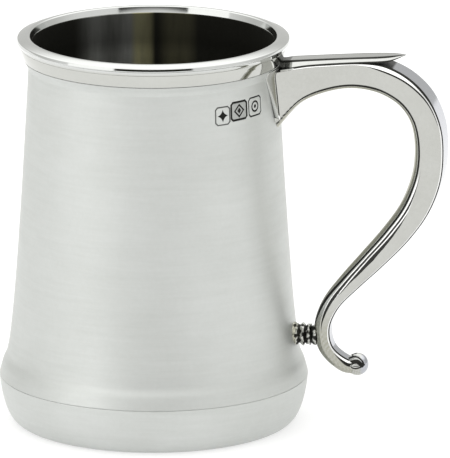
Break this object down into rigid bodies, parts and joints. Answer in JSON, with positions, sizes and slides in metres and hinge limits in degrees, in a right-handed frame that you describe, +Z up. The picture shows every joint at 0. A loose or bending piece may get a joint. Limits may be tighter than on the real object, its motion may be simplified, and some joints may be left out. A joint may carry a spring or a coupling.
{
  "type": "tankard",
  "caption": "Open drinking tankard with a gently tapered drum, flared mouth ring, domed base and a cast S-shaped side handle with a thumb plate.",
  "frame": {"origin": "on the drum's axis, at the level the foot stands on (the underside disc is recessed 0.8 mm above it)", "axes": "+Z up along the drum's axis, +X towards the handle, +Y to the left of the handle seen from outside it"},
  "size_m": [0.1367, 0.094, 0.12],
  "materials": {
    "sheet_pewter": "satin-polished pewter with fine polishing lines",
    "polished_pewter": "bright-polished pewter",
    "cast_pewter": "polished cast pewter",
    "solder": "dull wiped solder"
  },
  "bodies": {
    "root": {"body_wall": "sheet_pewter", "base_bowl": "sheet_pewter", "floor_disc": "sheet_pewter", "rim_ring": "polished_pewter", "handle_shield": "cast_pewter", "handle": "cast_pewter", "thumb_plate": "cast_pewter", "strut": "cast_pewter", "solder_base_seam": "solder", "solder_floor_seam": "solder"}
  },
  "joints": []
}
